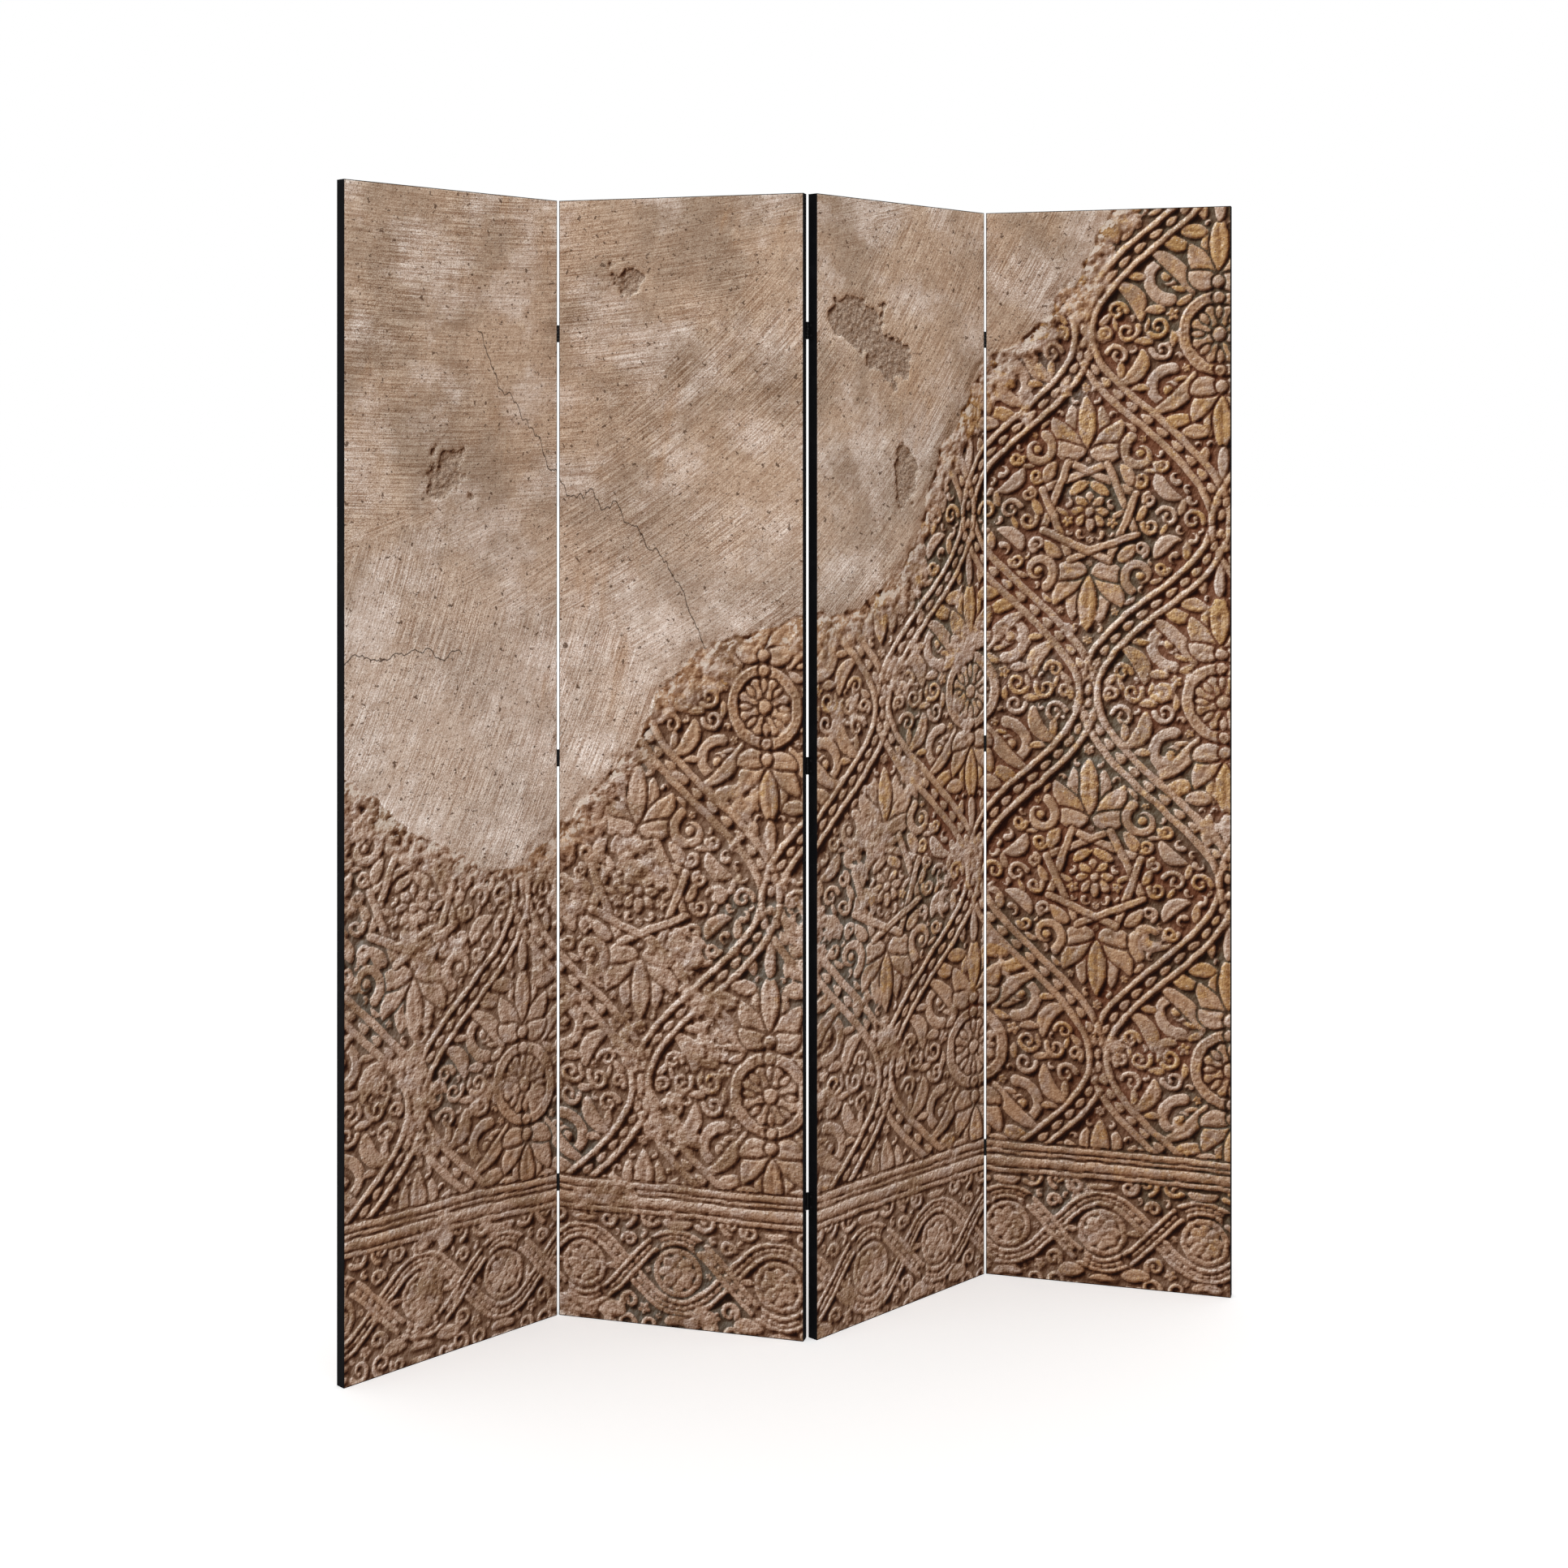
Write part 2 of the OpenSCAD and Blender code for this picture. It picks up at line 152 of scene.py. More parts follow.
class Carving:
    """Half a repeat's width by its height in mm, mirrored left and right and repeated upwards."""

    def __init__(self, period, height, reach=24.0):
        self.half, self.tall, self.reach = period / 2, height, reach
        self.x = np.arange(0, self.half + 1, 1.0)
        self.v = np.arange(0, height, 1.0) - height / 2
        shape = (len(self.v), len(self.x))
        self.height = np.zeros(shape)
        self.room = np.full(shape, reach)     # distance to the nearest motif, less than 0 inside one
        self.paint = np.zeros(shape)

    def copies(self, points, reach):
        """The points' mirrored and repeated copies that meet the tile, each with its window."""
        for lift in (-self.tall, 0, self.tall):
            for mirror in (None, 0, self.half):
                q = points + (0, lift)
                if mirror is not None:
                    q[:, 0] = 2 * mirror - q[:, 0]
                lo, hi = q.min(0) - reach, q.max(0) + reach
                rows = slice(*np.searchsorted(self.v, (lo[1], hi[1])))
                cols = slice(*np.searchsorted(self.x, (lo[0], hi[0])))
                if rows.stop > rows.start and cols.stop > cols.start:
                    yield q, rows, cols

    def stroke(self, points, width, level, bevel=4.0, moat=3.0, vein=0.0, paint=0.4, cut=1.0, texture=None):
        """A raised stroke along the points, width(t) mm to each side, over a groove in what it crosses."""
        points = np.asarray(points, float)
        widths = width(np.linspace(0, 1, len(points)))
        run = np.concatenate([[0], np.cumsum(np.hypot(*np.diff(points, axis=0).T))])
        for q, rows, cols in self.copies(points, widths.max() + self.reach):
            gx, gv = np.meshgrid(self.x[cols], self.v[rows])
            far = np.hypot(gx[..., None] - q[::3, 0], gv[..., None] - q[::3, 1])
            self.room[rows, cols] = np.minimum(self.room[rows, cols], (far - widths[::3]).min(-1))
        for q, rows, cols in self.copies(points, widths.max() + moat + 2):
            gx, gv = np.meshgrid(self.x[cols], self.v[rows])
            away = np.hypot(gx[..., None] - q[:, 0], gv[..., None] - q[:, 1])
            best = np.argmax(widths - away, axis=-1)
            away = np.take_along_axis(away, best[..., None], -1)[..., 0]
            w, at = widths[best], run[best]
            inside = w - away
            own = level * (0.84 * rise(0, 0.62 * bevel, inside) + 0.16 * np.sqrt(np.clip(inside / w, 0, 1)))
            if vein:
                ends = rise(0, 0.15, at / run[-1]) * rise(0, 0.15, 1 - at / run[-1])
                own = own - vein * level * np.exp(-(away / (0.16 * w + 0.6)) ** 2) * ends
            if texture is not None:
                own = own + texture(away, w, at)
            old = self.height[rows, cols] * (1 - cut * rise(-moat, 0, inside))
            on = inside > 0
            self.height[rows, cols] = np.where(on, np.maximum(own, old), old)
            room = self.room[rows, cols]
            cut_off = np.maximum(room, np.minimum(-inside, moat + inside))
            groove = np.where(room < 0, cut_off, np.minimum(room, -inside))
            self.room[rows, cols] = np.where(on, -inside, groove)
            self.paint[rows, cols] = np.where(on, paint, self.paint[rows, cols])

    def clear(self, points, wide):
        """Sinks a band along the points to bare ground."""
        for q, rows, cols in self.copies(points, wide + 2):
            gx, gv = np.meshgrid(self.x[cols], self.v[rows])
            inside = wide - np.hypot(gx[..., None] - q[::2, 0], gv[..., None] - q[::2, 1]).min(-1)
            self.height[rows, cols] *= 1 - rise(-1, 1, inside)
            self.room[rows, cols] = np.where(inside > 0, np.minimum(inside, 4), self.room[rows, cols])

    def fill(self, rng, most=200, least=8.0):
        """Sets curls, flowers, leaves and buds in the ground that is left, the largest first."""
        for _ in range(most):
            i, j = np.unravel_index(np.argmax(self.room), self.room.shape)
            room, x, v = self.room[i, j], self.x[j], self.v[i]
            if room < least:
                break
            sides = min(x, self.half - x)
            on_axis = sides < 0.5 * room
            if on_axis:
                x = 0.0 if x < self.half / 2 else self.half
            else:
                room = min(room, sides)
            tint = rng.random()
            if room > 17 and not on_axis:
                turn, first = rng.choice((-1, 1)), rng.uniform(0, 360)
                curl = spiral(x, v, room - 6.5, 4.6, first, first + turn * 400)
                self.stroke(curl, taper(4.6, 2.4), 0.74, bevel=3.0, moat=2.4, paint=tint)
                self.stroke(dot(*curl[-1]), even(3.6), 0.8, bevel=3.0, moat=1.0, paint=tint)
            elif room > 7.5 and not on_axis and tint < 0.42:
                turn, first = rng.choice((-1, 1)), rng.uniform(0, 360)
                comma = arc(x, v, 0.46 * room, first, first + turn * 200)
                self.stroke(comma, taper(0.34 * room, 0.06 * room), 0.74, bevel=3.0, moat=2.4, paint=tint)
            elif room > 9 and (on_axis or tint > 0.86):
                petals, first = (6, 90) if on_axis else (5, rng.uniform(0, 72))
                self.flower(x, v, room - 4.0, petals, first, tint)
            elif room > 5.6 and not on_axis:
                self.leaf_in(x, v, room, tint)
            else:
                self.stroke(dot(x, v), even(room - 4.0), 0.6, bevel=2.4, moat=1.6, paint=tint)

    def leaf_in(self, x, v, room, tint):
        """A leaf laid the way the ground is longest."""
        best, lie = -1.0, 0.0
        for degrees in range(0, 180, 15):
            a = radians(degrees)
            ends = [self.room_at(x + s * 1.7 * room * cos(a), v + s * 1.7 * room * sin(a)) for s in (-1, 1)]
            if min(ends) > best:
                best, lie = min(ends), a
        long = room * (1.25 + 0.5 * max(best, 0) / room)
        tip = (long * cos(lie), long * sin(lie))
        spine = bow((x - tip[0], v - tip[1]), (x + tip[0], v + tip[1]), 0.16 * room)
        self.stroke(spine, leaf(room - 4.2), 0.66, bevel=3.0, moat=2.0, vein=0.5, paint=tint)

    def room_at(self, x, v):
        """The distance to the nearest motif at one place."""
        x = abs(x)
        x = min(x, 2 * self.half - x)
        i = int(round((v + self.tall / 2) % self.tall)) % len(self.v)
        return self.room[i, int(round(min(max(x, 0), len(self.x) - 1)))]

    def flower(self, x, v, r, petals, first, tint):
        """A flower of single petals round a bud."""
        for k in range(petals):
            petal = ray(x, v, 0.22 * r, r, radians(first + 360 * k / petals), 14)
            self.stroke(petal, leaf(0.36 * r, 0.7), 0.66, bevel=2.6, moat=1.2, vein=0.45, paint=tint)
        self.stroke(dot(x, v), even(0.24 * r), 0.8, bevel=2.0, moat=1.0, paint=1 - tint)


# ---- Lines to stroke, and their widths

def arc(x, v, r, first, last, count=40):
    """Points on part of a circle, between two angles in degrees."""
    a = np.radians(np.linspace(first, last, count))
    return np.stack([x + r * np.cos(a), v + r * np.sin(a)], 1)


def dot(x, v):
    """Points so near each other that their stroke is round."""
    return arc(x, v, 0.3, 0, 360, 5)


def spiral(x, v, r0, r1, first, last, count=60):
    """Points on a spiral from radius r0 to r1."""
    t = np.linspace(0, 1, count)
    a = np.radians(first + (last - first) * t)
    r = r0 + (r1 - r0) * t ** 0.85
    return np.stack([x + r * np.cos(a), v + r * np.sin(a)], 1)


def bow(start, end, sag, count=32):
    """Points on a bowed line. Sag is its rise to the left of the way there."""
    start, end = np.array(start, float), np.array(end, float)
    t = np.linspace(0, 1, count)[:, None]
    side = np.array([-(end - start)[1], (end - start)[0]]) / np.hypot(*(end - start))
    return start + (end - start) * t + side * sag * 4 * t * (1 - t)


def ray(x, v, near, far, angle, count=32):
    """Points on a straight line away from a middle, from near it to far from it."""
    way = np.array([cos(angle), sin(angle)])
    return bow((x, v) + near * way, (x, v) + far * way, 0, count)


def eighths(first=0.0):
    """Eight even directions round a circle, in radians."""
    return [radians(45 * i + first) for i in range(8)]


def leaf(wide, blunt=0.35):
    """A leaf's width to each side, from its stalk to its tip."""
    return lambda t: np.maximum(wide * np.sin(pi * t ** (0.5 + blunt)) ** 0.8, 0.4)


def taper(first, last):
    """A width that changes evenly from one end to the other."""
    return lambda t: first + (last - first) * t


def even(wide):
    """The same width from end to end."""
    return taper(wide, wide)


def beads(pitch, r):
    """Round beads in a channel along a rib."""
    def texture(away, w, run):
        s = ((run / pitch) % 1 - 0.5) * pitch
        ball = np.sqrt(np.clip(1 - (s ** 2 + away ** 2) / r ** 2, 0, 1))
        return (1 - rise(r + 0.4, r + 1.4, away)) * (0.55 * ball - 0.5)
    return texture


def beside(line, away):
    """The line moved sideways."""
    way = np.gradient(line, axis=0)
    way /= np.hypot(*way.T)[:, None]
    return line + away * np.stack([-way[:, 1], way[:, 0]], 1)


# ---- The carving's repeats

def net_of_ribs():
    """One repeat of the ogee net, with a rosette in one cell and a star of two squares in the next."""
    c = Carving(CELL_W, CELL_H)
    scale = (CELL_W / DRAWN_W, CELL_H / DRAWN_H)
    half_w, half_h = DRAWN_W / 2, DRAWN_H / 2

    def put(points, width, level, moat=4.0, **more):
        c.stroke(np.asarray(points, float) * scale, lambda t: 1.2 * width(t), level, moat=moat, **more)

    # the rosette, with a palmette and scrolls above and below it
    for s in (1, -1):
        put(spiral(62, s * 66, 27, 6, -s * 100, s * 300), taper(8.0, 4.0), 0.6, vein=0.35, paint=0.2)
        put(dot(63, s * 66), even(6.5), 0.8, paint=0.8)
        put(bow((30, s * 42), (90, s * 96), s * 10), leaf(10), 0.66, vein=0.5, paint=0.4)
        put(bow((34, s * 100), (74, s * 122), -s * 8), leaf(10), 0.66, vein=0.5, paint=0.9)
        put(bow((92, s * 16), (124, s * 58), s * 12), leaf(11), 0.66, vein=0.5, paint=0.5)
        put(bow((20, s * 132), (40, s * 160), s * 6), leaf(8), 0.62, vein=0.5, paint=0.5)
        for i, (degrees, long, wide) in enumerate(((74, 46, 12.5), (42, 44, 14), (6, 34, 12.5))):
            a = radians(degrees)
            lobe = bow((3, s * 64), (long * cos(a) + 3, s * (66 + long * sin(a) * 1.25)), -s * (3 + 2 * i))
            put(lobe, leaf(wide), 0.72 + 0.02 * i, vein=0.45, paint=0.8 - 0.25 * i)
        put(bow((0, s * 72), (0, s * 136), 0), leaf(13, 0.5), 0.9, vein=0.6, paint=0.9)
        put(bow((0, s * 132), (0, s * 178), 0), leaf(7.5, 0.1), 0.72, vein=0.3, paint=0.1)
        put(dot(0, s * 60), even(8), 0.95, paint=0.3)
    put(arc(0, 0, 42, -90, 90, 120), even(7.5), 0.92, texture=beads(9.6, 3.0))
    for first, near, width, level, more in ((22.5, 7, leaf(9.5, 0.75), 0.8, dict(vein=0.55, paint=0.5)),
                                            (0, 17, leaf(4.4, 0.6), 0.6, {})):
        for a in eighths(first):
            if cos(a) > -0.01:
                put(ray(0, 0, near, 33, a), width, level, **more)
    put(dot(0, 0), even(9), 0.95)

    # the star of two squares, with its palmettes
    for s in (1, -1):
        for i, (degrees, long, wide) in enumerate(((76, 60, 13.5), (46, 56, 15), (14, 42, 13))):
            a = radians(degrees)
            foot = (half_w - 4, s * 74 - half_h)
            tip = (half_w - 4 - long * cos(a), s * (76 + long * sin(a)) - half_h)
            lobe = bow(foot, tip, s * (4 + 2 * i))
            put(lobe, leaf(wide), 0.68 + 0.03 * i, vein=0.5, paint=0.3 + 0.2 * (i % 2))
        spine = bow((half_w, s * 78 - half_h), (half_w, s * 146 - half_h), 0)
        put(spine, leaf(13, 0.5), 0.85, vein=0.5, paint=0.8)
        scroll = spiral(half_w - 64, s * 74 - half_h, 22, 5, s * 60, -s * 300)
        put(scroll, taper(7, 4), 0.62, vein=0.3, paint=0.4)
        put(dot(half_w - 64, s * 74 - half_h), even(5.5), 0.8, paint=0.9)
        stray = bow((half_w - 84, s * 50 - half_h), (half_w - 116, s * 24 - half_h), s * 8)
        put(stray, leaf(10), 0.64, vein=0.5, paint=0.2)
    corners = [(half_w + 64 * cos(a), 64 * sin(a) - half_h) for a in eighths(22.5)]
    for here, there in zip(corners, corners[2:] + corners[:2]):
        if min(here[0], there[0]) < half_w + 1:
            put(bow(here, there, 0, 60), even(5.4), 0.85, bevel=2.5, moat=2.5, cut=0.9, vein=0.4)
    for a in eighths():
        if cos(a) < 0.01:
            put(ray(half_w, -half_h, 3, 24, a), leaf(6.4, 0.75), 0.8, vein=0.5, paint=0.7)
    put(dot(half_w, -half_h), even(6), 0.95)

    # the rib, of two rims with links between them
    v = np.linspace(-c.tall / 2, c.tall / 2, 200)
    line = np.stack([c.half * (0.5 + 0.5 * np.cos(2 * pi * v / c.tall)), v], 1)
    c.clear(line, 20.0)
    for side in (-1, 1):
        c.stroke(beside(line, side * 14), even(5.8), 0.96, bevel=4.2, moat=1.5)
    for first in range(2, len(line) - 6, 7):
        c.stroke(line[first:first + 6], leaf(6.2, 0.1), 0.85, bevel=2.6, moat=1.5, vein=0.6)
    c.fill(np.random.default_rng(5))
    return c


def wave_band():
    """One repeat of the band along the foot: two ribbons that cross, with a rosette in each eye."""
    c = Carving(BAND_PERIOD, BAND_H)
    x = np.linspace(-c.half * 0.1, c.half * 1.1, 150)
    swing = 56 * np.cos(pi * x / c.half)
    upper, lower = np.stack([x, swing], 1), np.stack([x, -swing], 1)
    crossing = np.abs(x - c.half / 2) < c.half * 0.25
    for line in (upper, lower, upper[crossing]):
        c.clear(line, 14.0)
        for side in (-1, 1):
            c.stroke(beside(line, side * 9.0), even(4.0), 0.9, bevel=3.0, moat=1.5)
        for first in range(3, len(line) - 5, 8):
            c.stroke(line[first:first + 5], even(3.0), 0.7, bevel=2.4, moat=1.0)
    for middle in (0.0, c.half):
        c.stroke(arc(middle, 0, 34, 0, 360, 90), even(4.6), 0.85, bevel=3.0, moat=3, texture=beads(9.5, 2.4))
        c.flower(middle, 0, 26.5, 8, 0, 0.5)
        for s in (1, -1):
            c.stroke(bow((middle - 22, s * 79), (middle + 22, s * 79), -s * 4), leaf(7, 0.1), 0.7, vein=0.4)
    c.fill(np.random.default_rng(9), 90)
    return c


def read(c, field, x, v):
    """A carving's field at design places, mirrored and repeated."""
    fx = np.abs((x + c.half) % (2 * c.half) - c.half)
    fv = (v + c.tall / 2) % c.tall
    i, j = np.floor(fv).astype(int), np.floor(fx).astype(int)
    a, b = fv - i, fx - j
    up, right = (i + 1) % len(c.v), np.minimum(j + 1, len(c.x) - 1)
    return between(field, i % len(c.v), np.minimum(j, len(c.x) - 1), up, right, a, b)


def moulded(v):
    """Height of the mouldings between the foot band and the net."""
    total = 0 * v
    for middle, wide, high in MOULDINGS:
        total = np.maximum(total, high * np.sqrt(np.clip(1 - ((v - middle) / wide) ** 2, 0, 1)))
    return total


# ---- The wall that the picture shows

def carved_wall(rng, u, v):
    """The carving's height, the depth inside its motifs, and its paint, as they lie on the wall."""
    slow = [cloud(rng, 420, 2) for _ in range(2)]
    quick = [cloud(rng, 26, 3) for _ in range(2)]
    x = u + UPRIGHT_LEAN * (v - DESIGN_H / 2) + 4.5 * slow[0] + 0.6 * quick[0]
    y = v + LEVEL_LEAN * (u - DESIGN_W / 2) + 4.5 * slow[1] + 0.6 * quick[1]
    net, band = net_of_ribs(), wave_band()

    def laid_out(field, amid):
        """One field of the net and of the band below it, and what it is amid the two."""
        of_net = read(net, getattr(net, field), x + NET_SHIFT[0], y - NET_FOOT + NET_SHIFT[1])
        of_band = read(band, getattr(band, field), x + BAND_SHIFT, y - BAND_H / 2)
        return np.where(y > NET_FOOT, of_net, np.where(y < BAND_H, of_band, amid))

    return laid_out("height", moulded(y)), -laid_out("room", 4 - 10 * moulded(y)), laid_out("paint", 0.4)


def plaster_side(rng, u, v):
    """How far above the plaster's broken lower edge a place is, in mm. Below it, the figure is negative."""
    line = np.interp(u[0], *PLASTER_EDGE)
    soft = np.hanning(121) / np.hanning(121).sum()
    line = np.convolve(np.pad(line, 60, "edge"), soft, "same")[60:-60]
    ragged = 9 * cloud(rng, 130, 5, 0.62)
    return (v - line) / np.sqrt(1 + np.gradient(line, SAMPLE) ** 2) + ragged


def crack_side(rng, u, v, u0, u1, v0, v1, swing):
    """How far above a wandering crack a place is, in mm. Below it, the figure is negative."""
    share = np.clip((u[0] - u0) / (u1 - u0), 0, 1)
    walk = grain(rng, 60)[0] + 0.35 * grain(rng, 18)[0] + 0.12 * grain(rng, 5)[0]
    line = v0 + (v1 - v0) * share + swing * 0.4 * walk
    above = (v - line) / np.sqrt(1 + np.gradient(line, SAMPLE) ** 2)
    return above + np.sign(above) * 3 * np.maximum(u0 - u, u - u1).clip(0)


def chip_depth(u, v):
    """How far inside the nearest chip in the plaster a place is."""
    inside = [size - np.hypot((u - mu) / wide, (v - mv) / tall) * size for mu, mv, wide, tall, size in CHIPS]
    return np.maximum.reduce(inside)


def lighting(height, edge, near):
    """The light on each slope, the shade cast, the dark of the hollows, and which edges face the light."""
    up, right = np.gradient(height * RELIEF, SAMPLE)
    fine = toward_light(right, up) / np.sqrt(1 + right ** 2 + up ** 2)
    up, right = np.gradient(blurred(height, 3.0) * 1.5 * RELIEF, SAMPLE)
    light = 0.8 * fine + 0.5 * toward_light(right, up)

    shade = np.zeros_like(height)
    for step in range(1, 11):
        caster = np.roll(np.roll(height, step, 1), -step, 0)     # what stands this many samples up and left
        shade = np.maximum(shade, caster - height - 0.080 * step)
    shade = blurred(rise(0.02, 0.45, shade), 0.9)

    narrow, wide = [np.clip(blurred(height, size) - height, 0, 1) for size in (3.5, 10)]
    cavity = np.minimum(0.8 * narrow + 0.4 * wide, 0.62 - 0.25 * near)
    up, right = np.gradient(blurred(edge, 1.1), SAMPLE)
    facing = toward_light(right, up) / (np.hypot(up, right) + 0.12)
    return dict(light=light, shade=shade, cavity=cavity, facing=facing)


def printed_design(seed=11):
    """The fields that the canvas is printed from, on a grid of places in mm."""
    rng = np.random.default_rng(seed)
    u, v = np.meshgrid(np.arange(COLS) * SAMPLE, np.arange(ROWS) * SAMPLE)
    height, edge, paint = carved_wall(rng, u, v)
    plaster = plaster_side(rng, u, v)

    # wear, strongest at the lower left, and carving that is broken away there and near the plaster
    wear = rise(-0.9, 1.9, cloud(rng, 230, 4) + 1.5 * (1 - u / 1500) + 0.9 * (1 - v / 900))
    lumps, grit = cloud(rng, 20, 4, 0.68), cloud(rng, 4.5, 2)
    height = height * (1 - wear * 0.4) + 0.4 * wear * blurred(height, 2.4) * 0.8
    broken = rise(0.70, 1.9, cloud(rng, 75, 4, 0.6) + 1.2 * wear - 1.0)
    near = 1 - rise(16, 72, -plaster + 20 * cloud(rng, 60, 3))
    broken = np.maximum(broken * 0.8, near)
    rough = 0.15 + 0.07 * near
    height = over(height, 0.50 + 0.10 * near + rough * lumps, broken)
    edge = over(edge, 3.4 + (2.6 - 1.3 * near) * lumps, broken)
    height = height + (0.03 + 0.07 * wear) * lumps + (0.045 + 0.03 * wear) * grit

    # the coat of plaster, with its cracks and chips
    covered = rise(-3, 2.5, plaster)
    coat = 1.05 + 0.03 * cloud(rng, 60, 3) + (rise(0, 22, plaster) - 1) * (0.30 + 0.10 * lumps)
    height = over(height, coat, covered)
    cracks = [crack_side(rng, u, v, *course) for course in CRACKS]
    crack = np.where(np.abs(cracks[0]) < np.abs(cracks[1]), *cracks)
    chip = chip_depth(u, v) + 9 * cloud(rng, 52, 5, 0.65)
    lost = covered * rise(-2, 2, chip)
    height = height - lost * (0.50 - 0.05 * lumps - 0.06 * grit)

    # how much paint is kept, and which way the plaster was brushed: level at 0, slanting at 0.5, steep at 1
    kept = rise(-0.1, 1.0, (u - 560) / 1000 + (v - 560) / 1500 + 0.16 * cloud(rng, 260, 3))
    drift = cloud(rng, 300, 2)
    slant = rise(-0.25, 0.25, 0.35 * drift + (u - 350) / 350 + (1330 - v) / 260)
    steep = rise(-0.25, 0.25, 0.30 * drift + (1130 - v) / 160 - (u - 250) / 300)
    brush = 0.5 * slant + 0.5 * np.minimum(slant, steep)
    return dict(edge=edge, plaster=plaster, paint=paint, kept=kept, wear=wear, crack=crack, chip=chip,
                brush=brush, **lighting(height, edge, near))


# ---- What a user may change

def pigment(name, description, default):
    """A colour that the user may change."""
    return FloatVectorProperty(name=name, description=description, default=default, subtype="COLOR", min=0,
                               max=1)


class PrintSettings(bpy.types.PropertyGroup):
    """Size, seed and colours of the printed picture of carved plaster."""
    seed: IntProperty(name="Seed", description="Seed of the wear and the stains", default=11, min=0)
    columns: IntProperty(name="Columns", description="Cells across one canvas", default=146, min=20)
    rows: IntProperty(name="Rows", description="Cells up one canvas", default=646, min=40)
    stone: pigment("Carving", "Colour of the carving's raised faces", (0.490, 0.312, 0.196))
    ground: pigment("Ground", "Colour of the sunk ground", (0.215, 0.122, 0.076))
    plaster: pigment("Plaster", "Colour of the smooth plaster", (0.500, 0.350, 0.248))
    ochre: pigment("Ochre", "Colour of the paint left on some leaves", (0.500, 0.285, 0.095))
    green: pigment("Green", "Colour of the paint left on some ground", (0.096, 0.108, 0.082))
    red: pigment("Red", "Colour of the other paint left on the ground", (0.215, 0.072, 0.034))


class StageSettings(bpy.types.PropertyGroup):
    """The camera's lens and the studio's light."""
    lens: FloatProperty(name="Lens", description="Focal length of the camera", default=52.14,
                        subtype="DISTANCE_CAMERA")
    turn: FloatProperty(name="Turn", description="How far the camera looks to the right",
                        default=radians(14.69), subtype="ANGLE")
    rise: FloatProperty(name="Rise", description="Upward shift of the frame", default=-0.2078)
    sky: FloatProperty(name="Sky", description="Strength of the light from all round", default=0.80, min=0)
    key: FloatProperty(name="Key", description="Strength of the lamp at the upper left", default=0.75, min=0)


# ---- Shaders

def joined(operation, swapped=False):
    """One of the Math node's operations, as a method of wires. Swapped puts the other value first."""
    def method(self, *others):
        return self.math(operation, *((*others, self) if swapped else (self, *others)))
    return method


class Wire:
    """A socket of a shader, which Python's operators join to Math nodes."""
    __add__, __radd__ = joined("ADD"), joined("ADD", True)
    __sub__, __rsub__ = joined("SUBTRACT"), joined("SUBTRACT", True)
    __mul__, __rmul__ = joined("MULTIPLY"), joined("MULTIPLY", True)
    sine, power, size = joined("SINE"), joined("POWER"), joined("ABSOLUTE")
    least, most = joined("MAXIMUM"), joined("MINIMUM")     # the least and the most that the value may be

    def __init__(self, shader, socket):
        self.shader, self.socket = shader, socket

    def also(self, output):
        """Another output of the same node."""
        return Wire(self.shader, self.socket.node.outputs[output])

    def math(self, operation, *values):
        """A Math node on the values, which may be wires or numbers."""
        return self.shader.node("Math", dict(operation=operation), dict(enumerate(values)))


